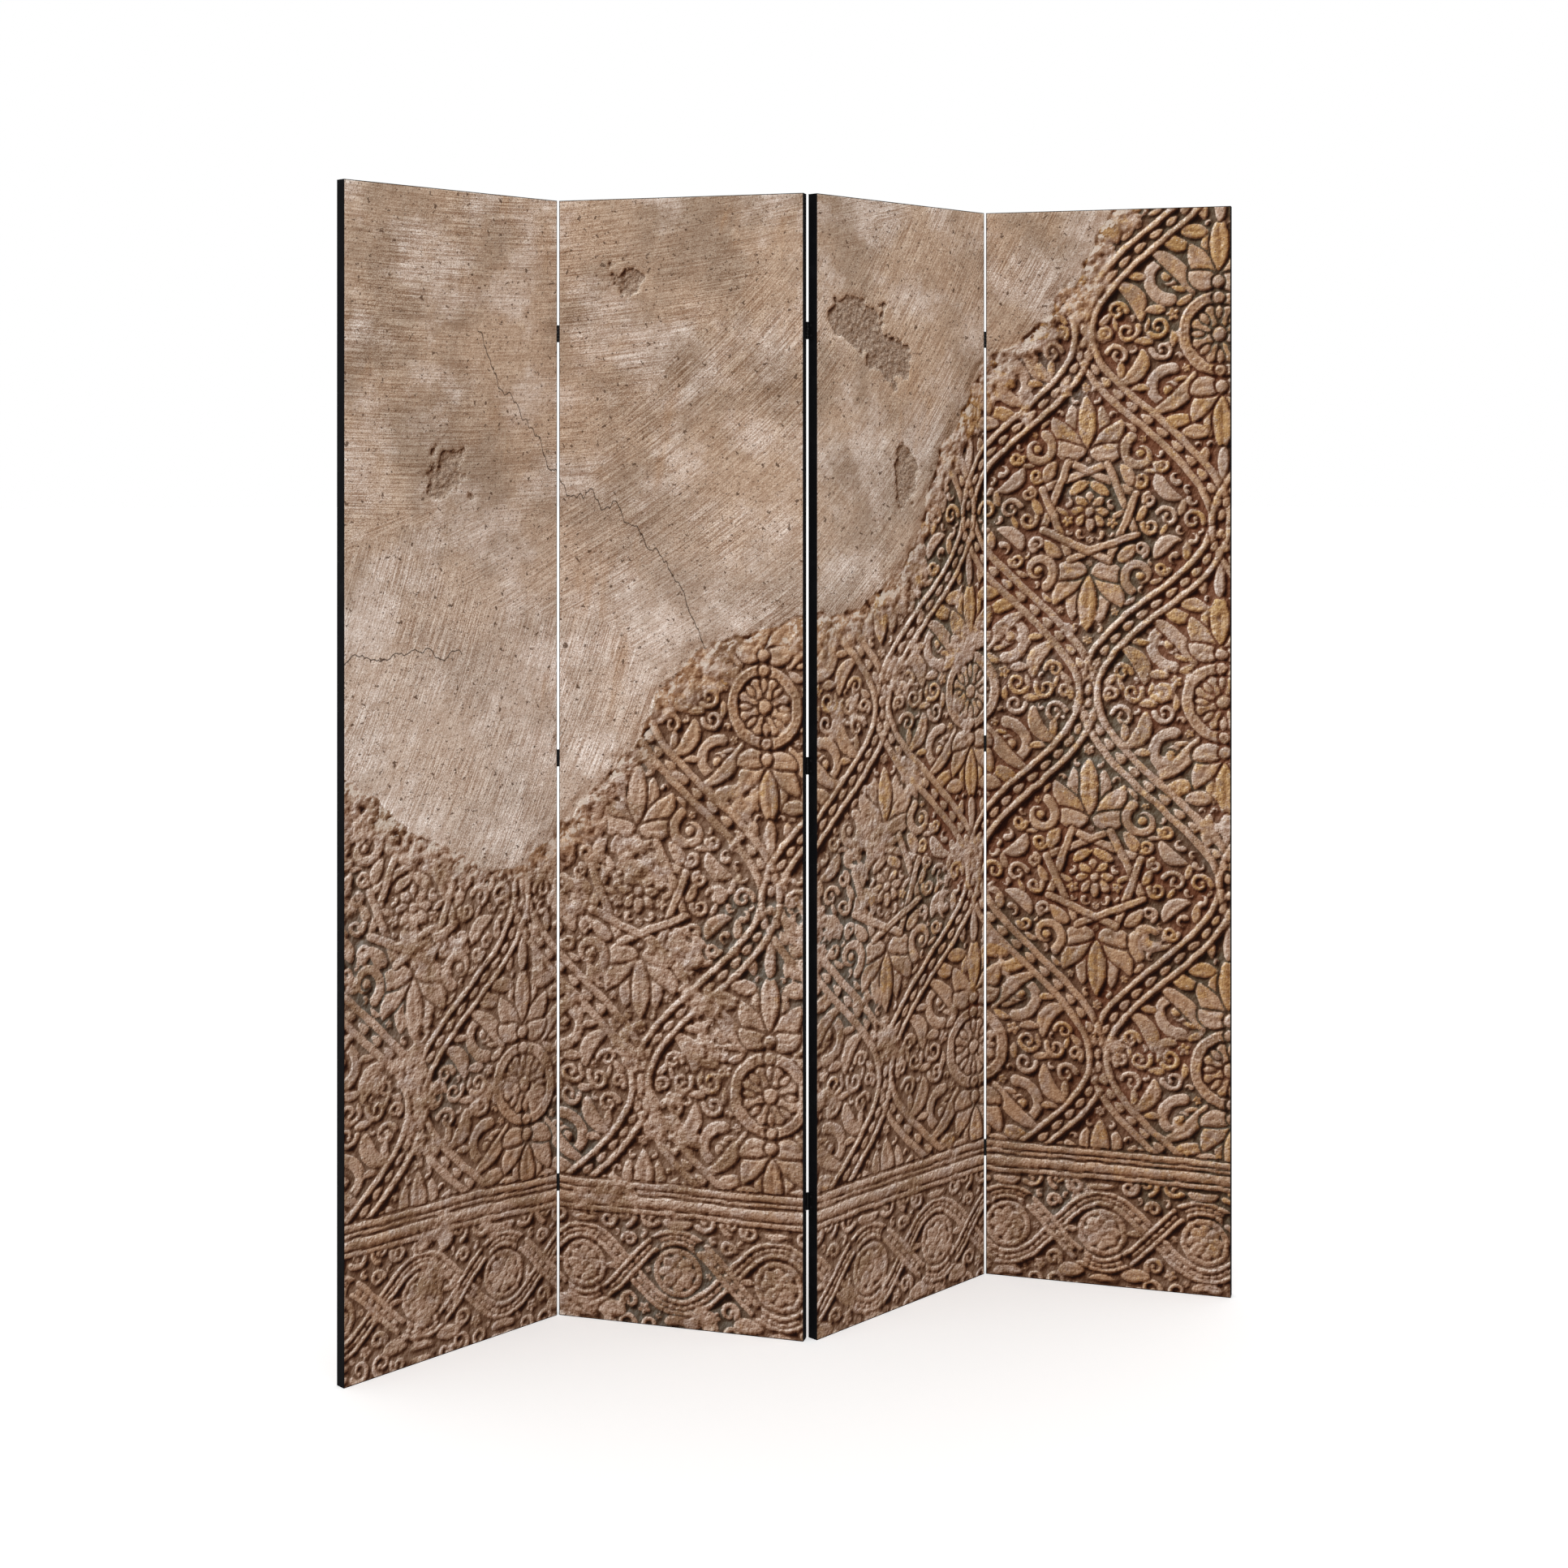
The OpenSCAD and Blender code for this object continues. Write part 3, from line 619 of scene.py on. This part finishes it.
class Shader:
    """The nodes of one material or world, built up by expressions on their sockets."""

    def __init__(self, name, kind="materials", surface="Principled BSDF", **constants):
        self.holder = getattr(bpy.data, kind).new(name)
        self.holder.use_nodes = True
        self.tree = self.holder.node_tree
        self.surface = self.tree.nodes[surface]
        for socket, value in constants.items():
            self.feed(socket.replace("_", " "), value)

    def feed(self, socket, value, node=None):
        """Sets a socket's value, or links a wire to it."""
        place = (node or self.surface).inputs[socket]
        if isinstance(value, Wire):
            self.tree.links.new(value.socket, place)
        elif hasattr(value, "__len__") and place.type == "RGBA":
            place.default_value = (*value, 1.0)
        elif hasattr(place.default_value, "__len__") and not hasattr(value, "__len__"):
            place.default_value = [value] * 3 + [1.0] * (len(place.default_value) - 3)
        else:
            place.default_value = value

    def node(self, kind, settings=None, sockets=None, output=0):
        """Any node: its settings are set first, then the values or links of its sockets."""
        made = self.tree.nodes.new("ShaderNode" + kind)
        for name, value in (settings or {}).items():
            setattr(made, name, value)
        for socket, value in (sockets or {}).items():
            self.feed(socket, value, made)
        return Wire(self, made.outputs[output])

    def object_place(self):
        """The object's own coordinates."""
        return self.node("TexCoord", output="Object")

    def mix(self, first, second, share, blend="MIX"):
        """One colour over another."""
        return self.node("Mix", dict(data_type="RGBA", blend_type=blend, clamp_factor=True),
                         {0: share, 6: first, 7: second}, 2)

    def lit(self, colour, amount):
        """The colour in less or more light, with warm shadows and paler highlights."""
        amount = amount.least(0.03)
        dim = amount.most(1)
        bright = amount.least(1)
        warmth = ((-0.34, -0.30), (-0.10, -0.10), (0.10, 0.05))     # powers of dim and bright, for R, G, B
        parts = [amount * dim.power(low) * bright.power(high) for low, high in warmth]
        light = self.node("CombineColor", {}, dict(enumerate(parts)))
        return self.mix(colour, light, 1.0, "MULTIPLY")

    def rise(self, low, high, value):
        """0 below low and 1 above high, with a smooth step between."""
        return self.node("MapRange", dict(interpolation_type="SMOOTHSTEP"),
                         {"Value": value, "From Min": low, "From Max": high})

    def noise(self, place, scale, detail=2.0, rough=0.5):
        """Noise between 0 and 1, with scale marks to the metre."""
        return self.node("TexNoise", {},
                         {"Vector": place, "Scale": scale, "Detail": detail, "Roughness": rough})

    def blots(self, low, high, place, scale, detail=2.0, rough=0.5):
        """Blots with soft edges, where noise rises from low to high."""
        return self.rise(low, high, self.noise(place, scale, detail, rough))

    def streaks(self, place, size, degrees=0.0, detail=3.0, rough=0.6):
        """Noise in marks of a size in metres, turned in the plane of the picture or of the ground."""
        turned = self.node("Mapping", dict(vector_type="TEXTURE"),
                           {"Vector": place, "Scale": size, "Rotation": (0, 0, radians(degrees))})
        return self.noise(turned, 1.0, detail, rough)

    def swept(self, place, centre, size):
        """Noise in long arcs round a centre, as a float leaves. Size is across and along, in metres."""
        spoke = self.node("VectorMath", dict(operation="SUBTRACT"), {0: place, 1: (*centre, 0)})
        parts = self.node("SeparateXYZ", {}, {0: spoke})
        far = self.node("VectorMath", dict(operation="LENGTH"), {0: spoke}, "Value")
        turn = parts.math("ARCTAN2", parts.also("Y"), parts)
        rolled = self.node("CombineXYZ", {}, {0: far * (1 / size[0]), 1: turn * (2 / size[1])})
        return self.noise(rolled, 1.0, 3, 0.6)

    def relief(self, height, strength, distance):
        """Bumps on the surface, where a height of 1 stands for distance metres."""
        sockets = {"Height": height, "Strength": strength, "Distance": distance}
        self.feed("Normal", self.node("Bump", {}, sockets))


# ---- The print's ink

INKS = {
    "bare earth": (0.290, 0.190, 0.134),
    "grey stain": (0.150, 0.152, 0.134),
    "worn stone": (0.520, 0.392, 0.328),
    "brown dust": (0.430, 0.330, 0.290),
    "pale dust": (0.540, 0.415, 0.350),
    "bright rim": (0.76, 0.63, 0.535),
    "lime speck": (0.80, 0.73, 0.66),
    "dark speck": (0.05, 0.028, 0.018),
    "pale plaster": (0.690, 0.562, 0.482),
    "rust stain": (0.400, 0.225, 0.115),
    "pit": (0.11, 0.062, 0.038),
    "crack": (0.05, 0.03, 0.02),
    "dark backing": (0.19, 0.122, 0.084),
    "light backing": (0.385, 0.268, 0.192),
    "chalk": (0.68, 0.575, 0.485),
}

# the float's arcs in the plaster: their centre, and the size of their marks across and along, in metres
FLOAT_ARCS = (
    ((0.15, 5.2), (0.0021, 0.055)),
    ((-0.30, 2.55), (0.0022, 0.12)),
    ((-1.60, 1.75), (0.0022, 0.085)),
)
PIT_LIGHT = (-0.0012, 0.0014, 0)       # a short step toward the light at the upper left, in metres
THREADS = 9000                         # the weave's waves, in radians to the metre


class CanvasPrint(Shader):
    """Matt canvas with a picture on it. What the canvas stores gives the forms, and noise gives the grain."""

    def __init__(self, look):
        super().__init__("printed canvas", Roughness=0.82, Specular_IOR_Level=0.08)
        place = self.node("UVMap", dict(uv_map="design"))
        self.look, self.place = look, place
        self.edge, self.light, self.shade, self.cavity = self.stored("carving")
        self.plaster, self.paint, self.kept, self.wear = self.stored("state")
        self.crack, self.chip, self.facing, self.brush = self.stored("marks")
        self.up = self.node("SeparateXYZ", {}, {0: place}).also("Y")
        self.grit = self.noise(place, 520, 3, 0.65)
        self.crumbs = self.noise(place, 150, 4, 0.7)
        beyond = self.node("VectorMath", {}, {0: place, 1: PIT_LIGHT})
        self.pitted = self.crumbs - self.noise(beyond, 150, 4, 0.7)
        self.patches = self.noise(place, 14, 5, 0.6)
        self.specks = self.noise(place, 260, 2, 0.5)

    def stored(self, layer):
        """The four fields of one of the canvas's layers."""
        attribute = self.node("Attribute", dict(attribute_name=layer))
        first = self.node("SeparateColor", {}, {0: attribute})
        return first, first.also("Green"), first.also("Blue"), attribute.also("Alpha")


def sunk_ground(s):
    """The carving's sunk ground, with paint left in it."""
    look, place = s.look, s.place
    painted = s.mix(look.red, look.green, s.blots(0.46, 0.56, place, 3.3, 3))
    ground = s.mix(look.ground, INKS["bare earth"], s.wear * 0.9)
    ground = s.mix(ground, painted, s.rise(0.62, 1.0, s.kept + (s.patches - 0.5) * 1.6) * 0.6)
    stained = s.blots(0.52, 0.60, place, 2.6, 3) * s.wear
    ground = s.mix(ground, INKS["grey stain"], stained * 0.75)
    strokes = s.streaks(place, (0.003, 0.016, 1), -24)
    ground = s.lit(ground, (0.66 + 0.62 * s.rise(0.40, 0.62, strokes)) * (1 + 2.4 * s.pitted))
    return s.lit(ground, 1 - 0.78 * s.rise(-0.2, 0.8, 0 - s.facing) * s.rise(-9, -1, s.edge))


def raised_faces(s):
    """The carving's raised faces, with paint, dust and crisp rims."""
    look, place = s.look, s.place
    darker = tuple(0.66 * part for part in look.stone)
    stone = s.mix(look.stone, INKS["worn stone"], s.wear * 0.6)
    stone = s.mix(stone, darker, s.rise(0.44, 0.62, s.patches))
    stone = s.mix(stone, INKS["brown dust"], s.blots(0.50, 0.66, place, 30, 3) * 0.5)
    blotch = (s.noise(place, 45, 5, 0.7) - 0.5) * 1.8
    dusty = s.rise(0.5, 1.0, 0.8 - s.paint * 1.4 + s.kept * 0.35 + blotch * 1.3)
    stone = s.mix(stone, INKS["pale dust"], dusty * 0.5)
    gilt = s.rise(0.80, 1.15, s.paint * 0.66 + s.kept * 0.55 + blotch * 1.3)
    stone = s.mix(stone, look.ochre, gilt * 0.62)
    mottled = 0.84 + 0.28 * s.blots(0.36, 0.64, place, 70, 4, 0.65)
    stone = s.lit(stone, mottled * (1 + (3.2 + 1.6 * s.wear) * s.pitted))
    rim = s.rise(4.2, 0.6, s.edge + (s.crumbs - 0.5) * 2)
    stone = s.lit(stone, 1 + 0.62 * s.facing * rim)
    bright = s.rise(0.25, 0.70, s.facing * s.rise(2.6, 0.6, s.edge) + s.light * 0.8)
    stone = s.mix(stone, INKS["bright rim"], bright * s.rise(0.50, 0.60, s.crumbs) * 0.66)
    return s.mix(stone, INKS["lime speck"], s.rise(0.655, 0.69, s.specks) * 0.6)


def carving(s):
    """The carving's ground and faces in their light and shade."""
    face = s.rise(-0.6, 0.6, s.edge + (s.crumbs - 0.5) * 2.4)
    carved = s.mix(sunk_ground(s), raised_faces(s), face)
    carved = s.mix(carved, INKS["dark speck"], s.rise(0.34, 0.30, s.specks) * 0.6)
    tone = (1 + 0.66 * s.light) * (1 - 0.96 * s.shade) * (1 - 1.25 * s.cavity)
    tone = tone * (0.78 + 0.22 * s.rise(0.15, 1.1, s.up))
    return s.lit(carved, (0.87 + 0.09 * s.wear) * tone)


def float_marks(s):
    """The lines that the float left, lying level, slanting or steep."""
    level, slant, steep = [s.swept(s.place, *arc_of_float) for arc_of_float in FLOAT_ARCS]
    lines = s.node("Mix", {}, {0: s.rise(0.10, 0.42, s.brush), 2: level, 3: slant})
    lines = s.node("Mix", {}, {0: s.rise(0.58, 0.92, s.brush), 2: lines, 3: steep})
    firm = 0.6 + 0.7 * s.blots(0.35, 0.65, s.place, 5, 3)
    return 0.5 + (s.rise(0.32, 0.68, lines + (s.grit - 0.5) * 0.9) - 0.5) * firm


def smooth_plaster(s):
    """The smooth plaster, with float marks, stains, pits and cracks."""
    look, place = s.look, s.place
    darker = tuple(0.70 * part for part in look.plaster)
    smooth = s.mix(look.plaster, darker, s.blots(0.40, 0.62, place, 4.2, 5, 0.62))
    pale = s.blots(0.46, 0.64, place, 7, 5, 0.62) * 0.62 + s.rise(1.40, 0.90, s.up) * 0.5
    smooth = s.mix(smooth, INKS["pale plaster"], pale)
    runs = s.rise(0.52, 0.72, s.streaks(place, (0.05, 0.22, 1), -12, 4))
    smooth = s.mix(smooth, INKS["rust stain"], runs * s.blots(0.5, 0.62, place, 3.1, 2) * 0.62)
    mottled = 0.86 + 0.28 * s.blots(0.36, 0.64, place, 60, 4, 0.7)
    smooth = s.lit(smooth, (0.56 + 0.82 * float_marks(s)) * (1 + 1.5 * s.pitted) * mottled)
    pits = s.rise(0.625, 0.675, s.specks) * 0.85 + s.blots(0.630, 0.665, place, 95, 3, 0.6) * 0.9
    smooth = s.mix(smooth, INKS["pit"], pits)
    smooth = s.lit(smooth, 1 + 0.8 * s.light)
    off_crack = s.rise(0.4, 1.3, (s.crack + (s.crumbs - 0.5) * 3).size())
    return s.mix(smooth, INKS["crack"], (1 - off_crack) * 0.85)


def chipped(s, smooth):
    """The plaster with its backing bare where a chip has come off."""
    coarse = s.rise(0.36, 0.62, s.crumbs + (s.grit - 0.5) * 0.8)
    backing = s.mix(INKS["dark backing"], INKS["light backing"], coarse)
    backing = s.lit(backing, (1 + 1.2 * s.light) * (1 - 0.8 * s.shade) * (1 + 2.6 * s.pitted))
    return s.mix(smooth, backing, s.rise(-0.5, 0.5, s.chip + (s.crumbs - 0.5) * 4))


def picture(s):
    """The whole picture: carving, chalk near the broken edge, and plaster above it."""
    ragged = s.plaster + (s.crumbs - 0.5) * 7
    chalk = s.rise(-46, -6, ragged) * s.blots(0.46, 0.56, s.place, 55, 4, 0.7)
    chalk = chalk * s.rise(-0.10, 0.16, s.light)
    whole = s.mix(carving(s), INKS["chalk"], chalk * 0.85)
    whole = s.mix(whole, chipped(s, smooth_plaster(s)), s.rise(-0.8, 0.8, ragged))
    return s.lit(whole, 0.52 + 0.96 * s.grit)


def printed_canvas(look):
    """The print's material: the picture's ink, over a very fine weave."""
    s = CanvasPrint(look)
    s.feed("Base Color", picture(s))
    threads = s.node("SeparateXYZ", {}, {0: s.place})
    s.relief((threads * THREADS).sine() * (threads.also("Y") * THREADS).sine(), 0.25, 0.00006)
    return s.holder


# ---- The other finishes

def woven_tape():
    """Black cotton tape: a fine twill, a little dusty."""
    s = Shader("black tape", Roughness=0.78, Specular_IOR_Level=0.05)
    place = s.object_place()
    dust = s.blots(0.45, 0.75, place, 40, 4, 0.6)
    s.feed("Base Color", s.mix((0.0040, 0.0040, 0.0046), (0.0072, 0.0072, 0.0082), dust))
    axes = s.node("SeparateXYZ", {}, {0: place})
    twill = 5200                       # its waves, in radians to the metre
    across, up = (axes + axes.also("Y")) * twill, axes.also("Z") * twill
    s.relief((across + up).sine() * (up * 0.5).sine(), 0.4, 0.0001)
    return s.holder


def pine():
    """Planed pine with its grain along the bar."""
    s = Shader("pine", Roughness=0.6)
    rings = s.streaks(s.object_place(), (0.014, 0.014, 0.33))
    s.feed("Base Color", s.mix((0.62, 0.40, 0.20), (0.40, 0.215, 0.09), s.rise(0.42, 0.66, rings)))
    s.relief(rings, 0.2, 0.0004)
    return s.holder


def satin_black():
    """Black stoving enamel on pressed steel, rubbed a little in small scattered spots."""
    s = Shader("black hinge", Roughness=0.42, Specular_IOR_Level=0.18)
    place = s.object_place()
    rubbed = s.blots(0.62, 0.72, place, 900, 3, 0.6)
    s.feed("Base Color", s.mix((0.0035, 0.0035, 0.0040), (0.020, 0.019, 0.018), rubbed))
    s.feed("Roughness", 0.32 + 0.16 * s.noise(place, 500, 3))
    s.relief(s.noise(place, 2600, 2), 0.15, 0.00005)
    return s.holder


def drawn_steel():
    """Bright drawn wire of the pins, with fine lines along it."""
    s = Shader("hinge pin", Metallic=1.0, Roughness=0.3)
    lines = s.streaks(s.object_place(), (0.00025, 0.00025, 0.008))
    s.feed("Base Color", s.mix((0.30, 0.30, 0.31), (0.44, 0.44, 0.45), lines))
    s.feed("Roughness", 0.22 + 0.2 * lines)
    return s.holder


def black_oxide():
    """Black oxide on the screws."""
    s = Shader("black screws", Metallic=0.5, Roughness=0.4)
    patches = s.noise(s.object_place(), 1400, 3, 0.6)
    s.feed("Base Color", s.mix((0.016, 0.016, 0.018), (0.040, 0.037, 0.035), s.rise(0.5, 0.7, patches)))
    s.feed("Roughness", 0.3 + 0.25 * patches)
    return s.holder


def finish_with(material, names):
    """Gives CAD nodes a material."""
    for name in names:
        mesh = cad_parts[name].data
        mesh.materials.clear()
        mesh.materials.append(material)


# ---- Canvases

def plan_of(node, outward):
    """Where a canvas lies in plan: the middle of its outer face, its direction and its sizes, in metres."""
    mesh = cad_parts[node].data
    points = np.array([v.co for v in mesh.vertices])
    plan = points[:, :2] - points[:, :2].mean(0)
    along = np.linalg.svd(plan, full_matrices=False)[2][0]
    along = along * np.sign(along[0]) * -outward
    back = np.array((-along[1], along[0]))
    depth, run = points[:, :2] @ back, points[:, :2] @ along
    outer = run[depth < depth.min() + 1e-5]
    middle = along * (outer.min() + outer.max()) / 2 + back * depth.min()
    return dict(middle=middle, angle=float(np.arctan2(along[1], along[0])), width=float(np.ptp(outer)),
                thick=float(np.ptp(depth)), foot=float(points[:, 2].min()), tall=float(np.ptp(points[:, 2])))


def blank_canvas(look):
    """A bare canvas, upright, with its face to -Y at the origin and its foot at 0."""
    size = plan_of("panel_1_front_canvas", -1)
    bpy.ops.object.select_all(action="DESELECT")
    bpy.ops.mesh.primitive_grid_add(x_subdivisions=look.columns, y_subdivisions=look.rows, size=1)
    canvas = bpy.context.object
    bpy.ops.object.mode_set(mode="EDIT")
    bpy.ops.mesh.select_all(action="SELECT")
    bpy.ops.transform.resize(value=(size["width"], size["tall"], 1), center_override=(0, 0, 0))
    bpy.ops.object.mode_set(mode="OBJECT")
    canvas.rotation_euler.x = pi / 2
    canvas.location.z = size["tall"] / 2
    bpy.ops.object.transform_apply(location=True, rotation=True, scale=True)
    bpy.ops.object.mode_set(mode="EDIT")
    bpy.ops.mesh.select_all(action="SELECT")
    bpy.ops.mesh.region_to_loop()
    bpy.ops.mesh.extrude_region_move(TRANSFORM_OT_translate=dict(value=(0, size["thick"], 0)))
    bpy.ops.mesh.edge_face_add()
    bpy.ops.mesh.select_all(action="SELECT")
    bpy.ops.mesh.normals_make_consistent(inside=False)
    bpy.ops.object.mode_set(mode="OBJECT")
    bpy.ops.object.shade_smooth_by_angle(angle=radians(30))
    return canvas


def copy_of(blank, name):
    """A canvas with a mesh of its own, made from the blank one."""
    bpy.ops.object.select_all(action="DESELECT")
    blank.select_set(True)
    bpy.context.view_layer.objects.active = blank
    bpy.ops.object.duplicate()
    bpy.context.object.name = name
    return bpy.context.object


def sampled(field, u, v):
    """A field of the design at places in mm."""
    fu, fv = np.clip(u / SAMPLE, 0, COLS - 1.001), np.clip(v / SAMPLE, 0, ROWS - 1.001)
    j, i = fu.astype(int), fv.astype(int)
    return between(field, i, j, i + 1, j + 1, fv - i, fu - j)


def print_on(canvas, design, column):
    """Stores the design's forms on a canvas in the given column, counted from the viewer's left."""
    mesh = canvas.data
    places = np.zeros(len(mesh.vertices) * 3)
    mesh.vertices.foreach_get("co", places)
    places = places.reshape(-1, 3) * MM_PER_M
    u = places[:, 0] + COLUMN_PITCH * (column + 0.5)
    v = places[:, 2]
    for name, fields in PRINT_LAYERS.items():
        layer = mesh.attributes.new(name, "FLOAT_COLOR", "POINT")
        values = np.stack([sampled(design[f], u, v) for f in fields], 1)
        layer.data.foreach_set("color", values.astype(np.float32).ravel())
    corners = np.zeros(len(mesh.loops), int)
    mesh.loops.foreach_get("vertex_index", corners)
    spread = mesh.uv_layers.new(name="design")
    spread.data.foreach_set("uv", (np.stack([u, v], 1)[corners] / MM_PER_M).astype(np.float32).ravel())


class DIVIDER_OT_canvases(bpy.types.Operator):
    """Stretches a printed canvas over the front and the back of each panel"""
    bl_idname = "divider.canvases"
    bl_label = "Printed canvases"

    def execute(self, context):
        look = context.scene.divider_print
        design = printed_design(look.seed)
        material = printed_canvas(look)
        blank = blank_canvas(look)
        for outward, side in ((-1, "front"), (1, "back")):
            for panel in PANELS:
                node = f"panel_{panel}_{side}_canvas"
                at = plan_of(node, outward)
                canvas = copy_of(blank, f"{side}_canvas_{panel}")
                print_on(canvas, design, panel - 1 if side == "front" else len(PANELS) - panel)
                canvas.rotation_euler.z = at["angle"]
                canvas.location = (*at["middle"], at["foot"])
                bpy.ops.object.transform_apply(location=True, rotation=True, scale=True)
                canvas.data.materials.append(material)
                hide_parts(node)
                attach(canvas, f"panel_{panel}")
        bpy.data.objects.remove(blank)
        return {"FINISHED"}


# ---- Tape, timber and hinges

class DIVIDER_OT_edge_tape(bpy.types.Operator):
    """Finishes the tape round each panel's edge"""
    bl_idname = "divider.edge_tape"
    bl_label = "Edge tape"

    def execute(self, context):
        finish_with(woven_tape(), [f"panel_{p}_edge_tape" for p in PANELS])
        return {"FINISHED"}


class DIVIDER_OT_timber(bpy.types.Operator):
    """Finishes the stretcher frames inside the panels"""
    bl_idname = "divider.timber"
    bl_label = "Timber frames"

    def execute(self, context):
        finish_with(pine(), [f"panel_{p}_{bar}" for p in PANELS for bar in (*OUTER_BARS, "cross_rails")])
        return {"FINISHED"}


class DIVIDER_OT_hinges(bpy.types.Operator):
    """Finishes the hinge leaves, their pins and their screws"""
    bl_idname = "divider.hinges"
    bl_label = "Hinges"

    def execute(self, context):
        for finish, ending in ((satin_black, "_leaf"), (drawn_steel, "_pins"), (black_oxide, "_screws")):
            finish_with(finish(), sorted(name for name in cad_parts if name.endswith(ending)))
        return {"FINISHED"}


# ---- Stage

def seen_directly(s):
    """1 for what the camera, a reflection or clear glass shows, and 0 for light that falls on the object."""
    straight = s.node("LightPath", output="Is Camera Ray")
    return straight.least(straight.also("Is Glossy Ray")).least(straight.also("Is Transmission Ray"))


def white_world(strength):
    """A world that shows white and lights the object evenly at the given strength."""
    s = Shader("studio", "worlds", "Background", Color=(1, 1, 1), Strength=strength)
    bpy.context.scene.world = s.holder
    shown = s.node("Background", {}, {"Color": (1, 1, 1)})
    pick = s.node("MixShader", {}, {0: seen_directly(s), 1: Wire(s, s.surface.outputs[0]), 2: shown})
    s.feed("Surface", pick, s.tree.nodes["World Output"])


def pale_floor():
    """A pale floor that runs into the white world and keeps the screen's shadow."""
    s = Shader("studio floor", Roughness=0.9, Specular_IOR_Level=0.0, Base_Color=(0.86, 0.86, 0.86),
               Emission_Strength=0.35)
    s.feed("Emission Color", s.mix((0, 0, 0), (1, 1, 1), seen_directly(s)))
    bpy.ops.object.select_all(action="DESELECT")
    bpy.ops.mesh.primitive_circle_add(vertices=96, radius=FLOOR_REACH, fill_type="NGON", location=(0, 0, 0))
    floor = bpy.context.object
    floor.name = "studio_floor"
    floor.data.materials.append(s.holder)


def soft_lamp(strength):
    """A broad soft lamp at the upper left."""
    lamp = bpy.data.lights.new("key", "SUN")
    lamp.energy = strength
    lamp.angle = LAMP_SPREAD
    key = bpy.data.objects.new("key", lamp)
    key.rotation_euler = Vector(LAMP_PLACE).to_track_quat("Z", "Y").to_euler()
    bpy.context.collection.objects.link(key)


def photograph_camera(settings):
    """A camera that stands where the photograph was taken, and looks level."""
    shot = bpy.data.cameras.new("camera")
    shot.lens = settings.lens
    shot.shift_y = settings.rise
    camera = bpy.data.objects.new("camera", shot)
    camera.location = CAMERA_PLACE
    camera.rotation_euler = (pi / 2, 0, -settings.turn)
    bpy.context.collection.objects.link(camera)
    bpy.context.scene.camera = camera


class DIVIDER_OT_stage(bpy.types.Operator):
    """Sets up the floor, the light and the camera"""
    bl_idname = "divider.stage"
    bl_label = "Stage"

    def execute(self, context):
        settings = context.scene.divider_stage
        context.scene.view_settings.view_transform = "Standard"
        white_world(settings.sky)
        pale_floor()
        soft_lamp(settings.key)
        photograph_camera(settings)
        return {"FINISHED"}


# ---- Sidebar and registration

class DIVIDER_PT_panel(bpy.types.Panel):
    """Lists the screen's settings and its pieces"""
    bl_idname = "DIVIDER_PT_panel"
    bl_label = "Folding screen"
    bl_space_type = "VIEW_3D"
    bl_region_type = "UI"
    bl_category = "Folding screen"

    def draw(self, context):
        for group in (context.scene.divider_stage, context.scene.divider_print):
            box = self.layout.box()
            for name in group.__annotations__:
                box.prop(group, name)
        for operator in OPERATORS:
            self.layout.operator(operator.bl_idname)


OPERATORS = (DIVIDER_OT_stage, DIVIDER_OT_canvases, DIVIDER_OT_edge_tape, DIVIDER_OT_timber,
             DIVIDER_OT_hinges)
CLASSES = (PrintSettings, StageSettings, *OPERATORS, DIVIDER_PT_panel)


def register():
    """Makes the settings, the operators and the panel known to Blender."""
    for cls in CLASSES:
        bpy.utils.register_class(cls)
    bpy.types.Scene.divider_print = PointerProperty(type=PrintSettings)
    bpy.types.Scene.divider_stage = PointerProperty(type=StageSettings)


def unregister():
    """Takes them away again."""
    del bpy.types.Scene.divider_stage
    del bpy.types.Scene.divider_print
    for cls in reversed(CLASSES):
        bpy.utils.unregister_class(cls)


def main():
    """Builds the whole scene over the frame."""
    register()
    bpy.ops.divider.stage()
    bpy.ops.divider.canvases()
    bpy.ops.divider.edge_tape()
    bpy.ops.divider.timber()
    bpy.ops.divider.hinges()


if __name__ == "__main__":
    main()
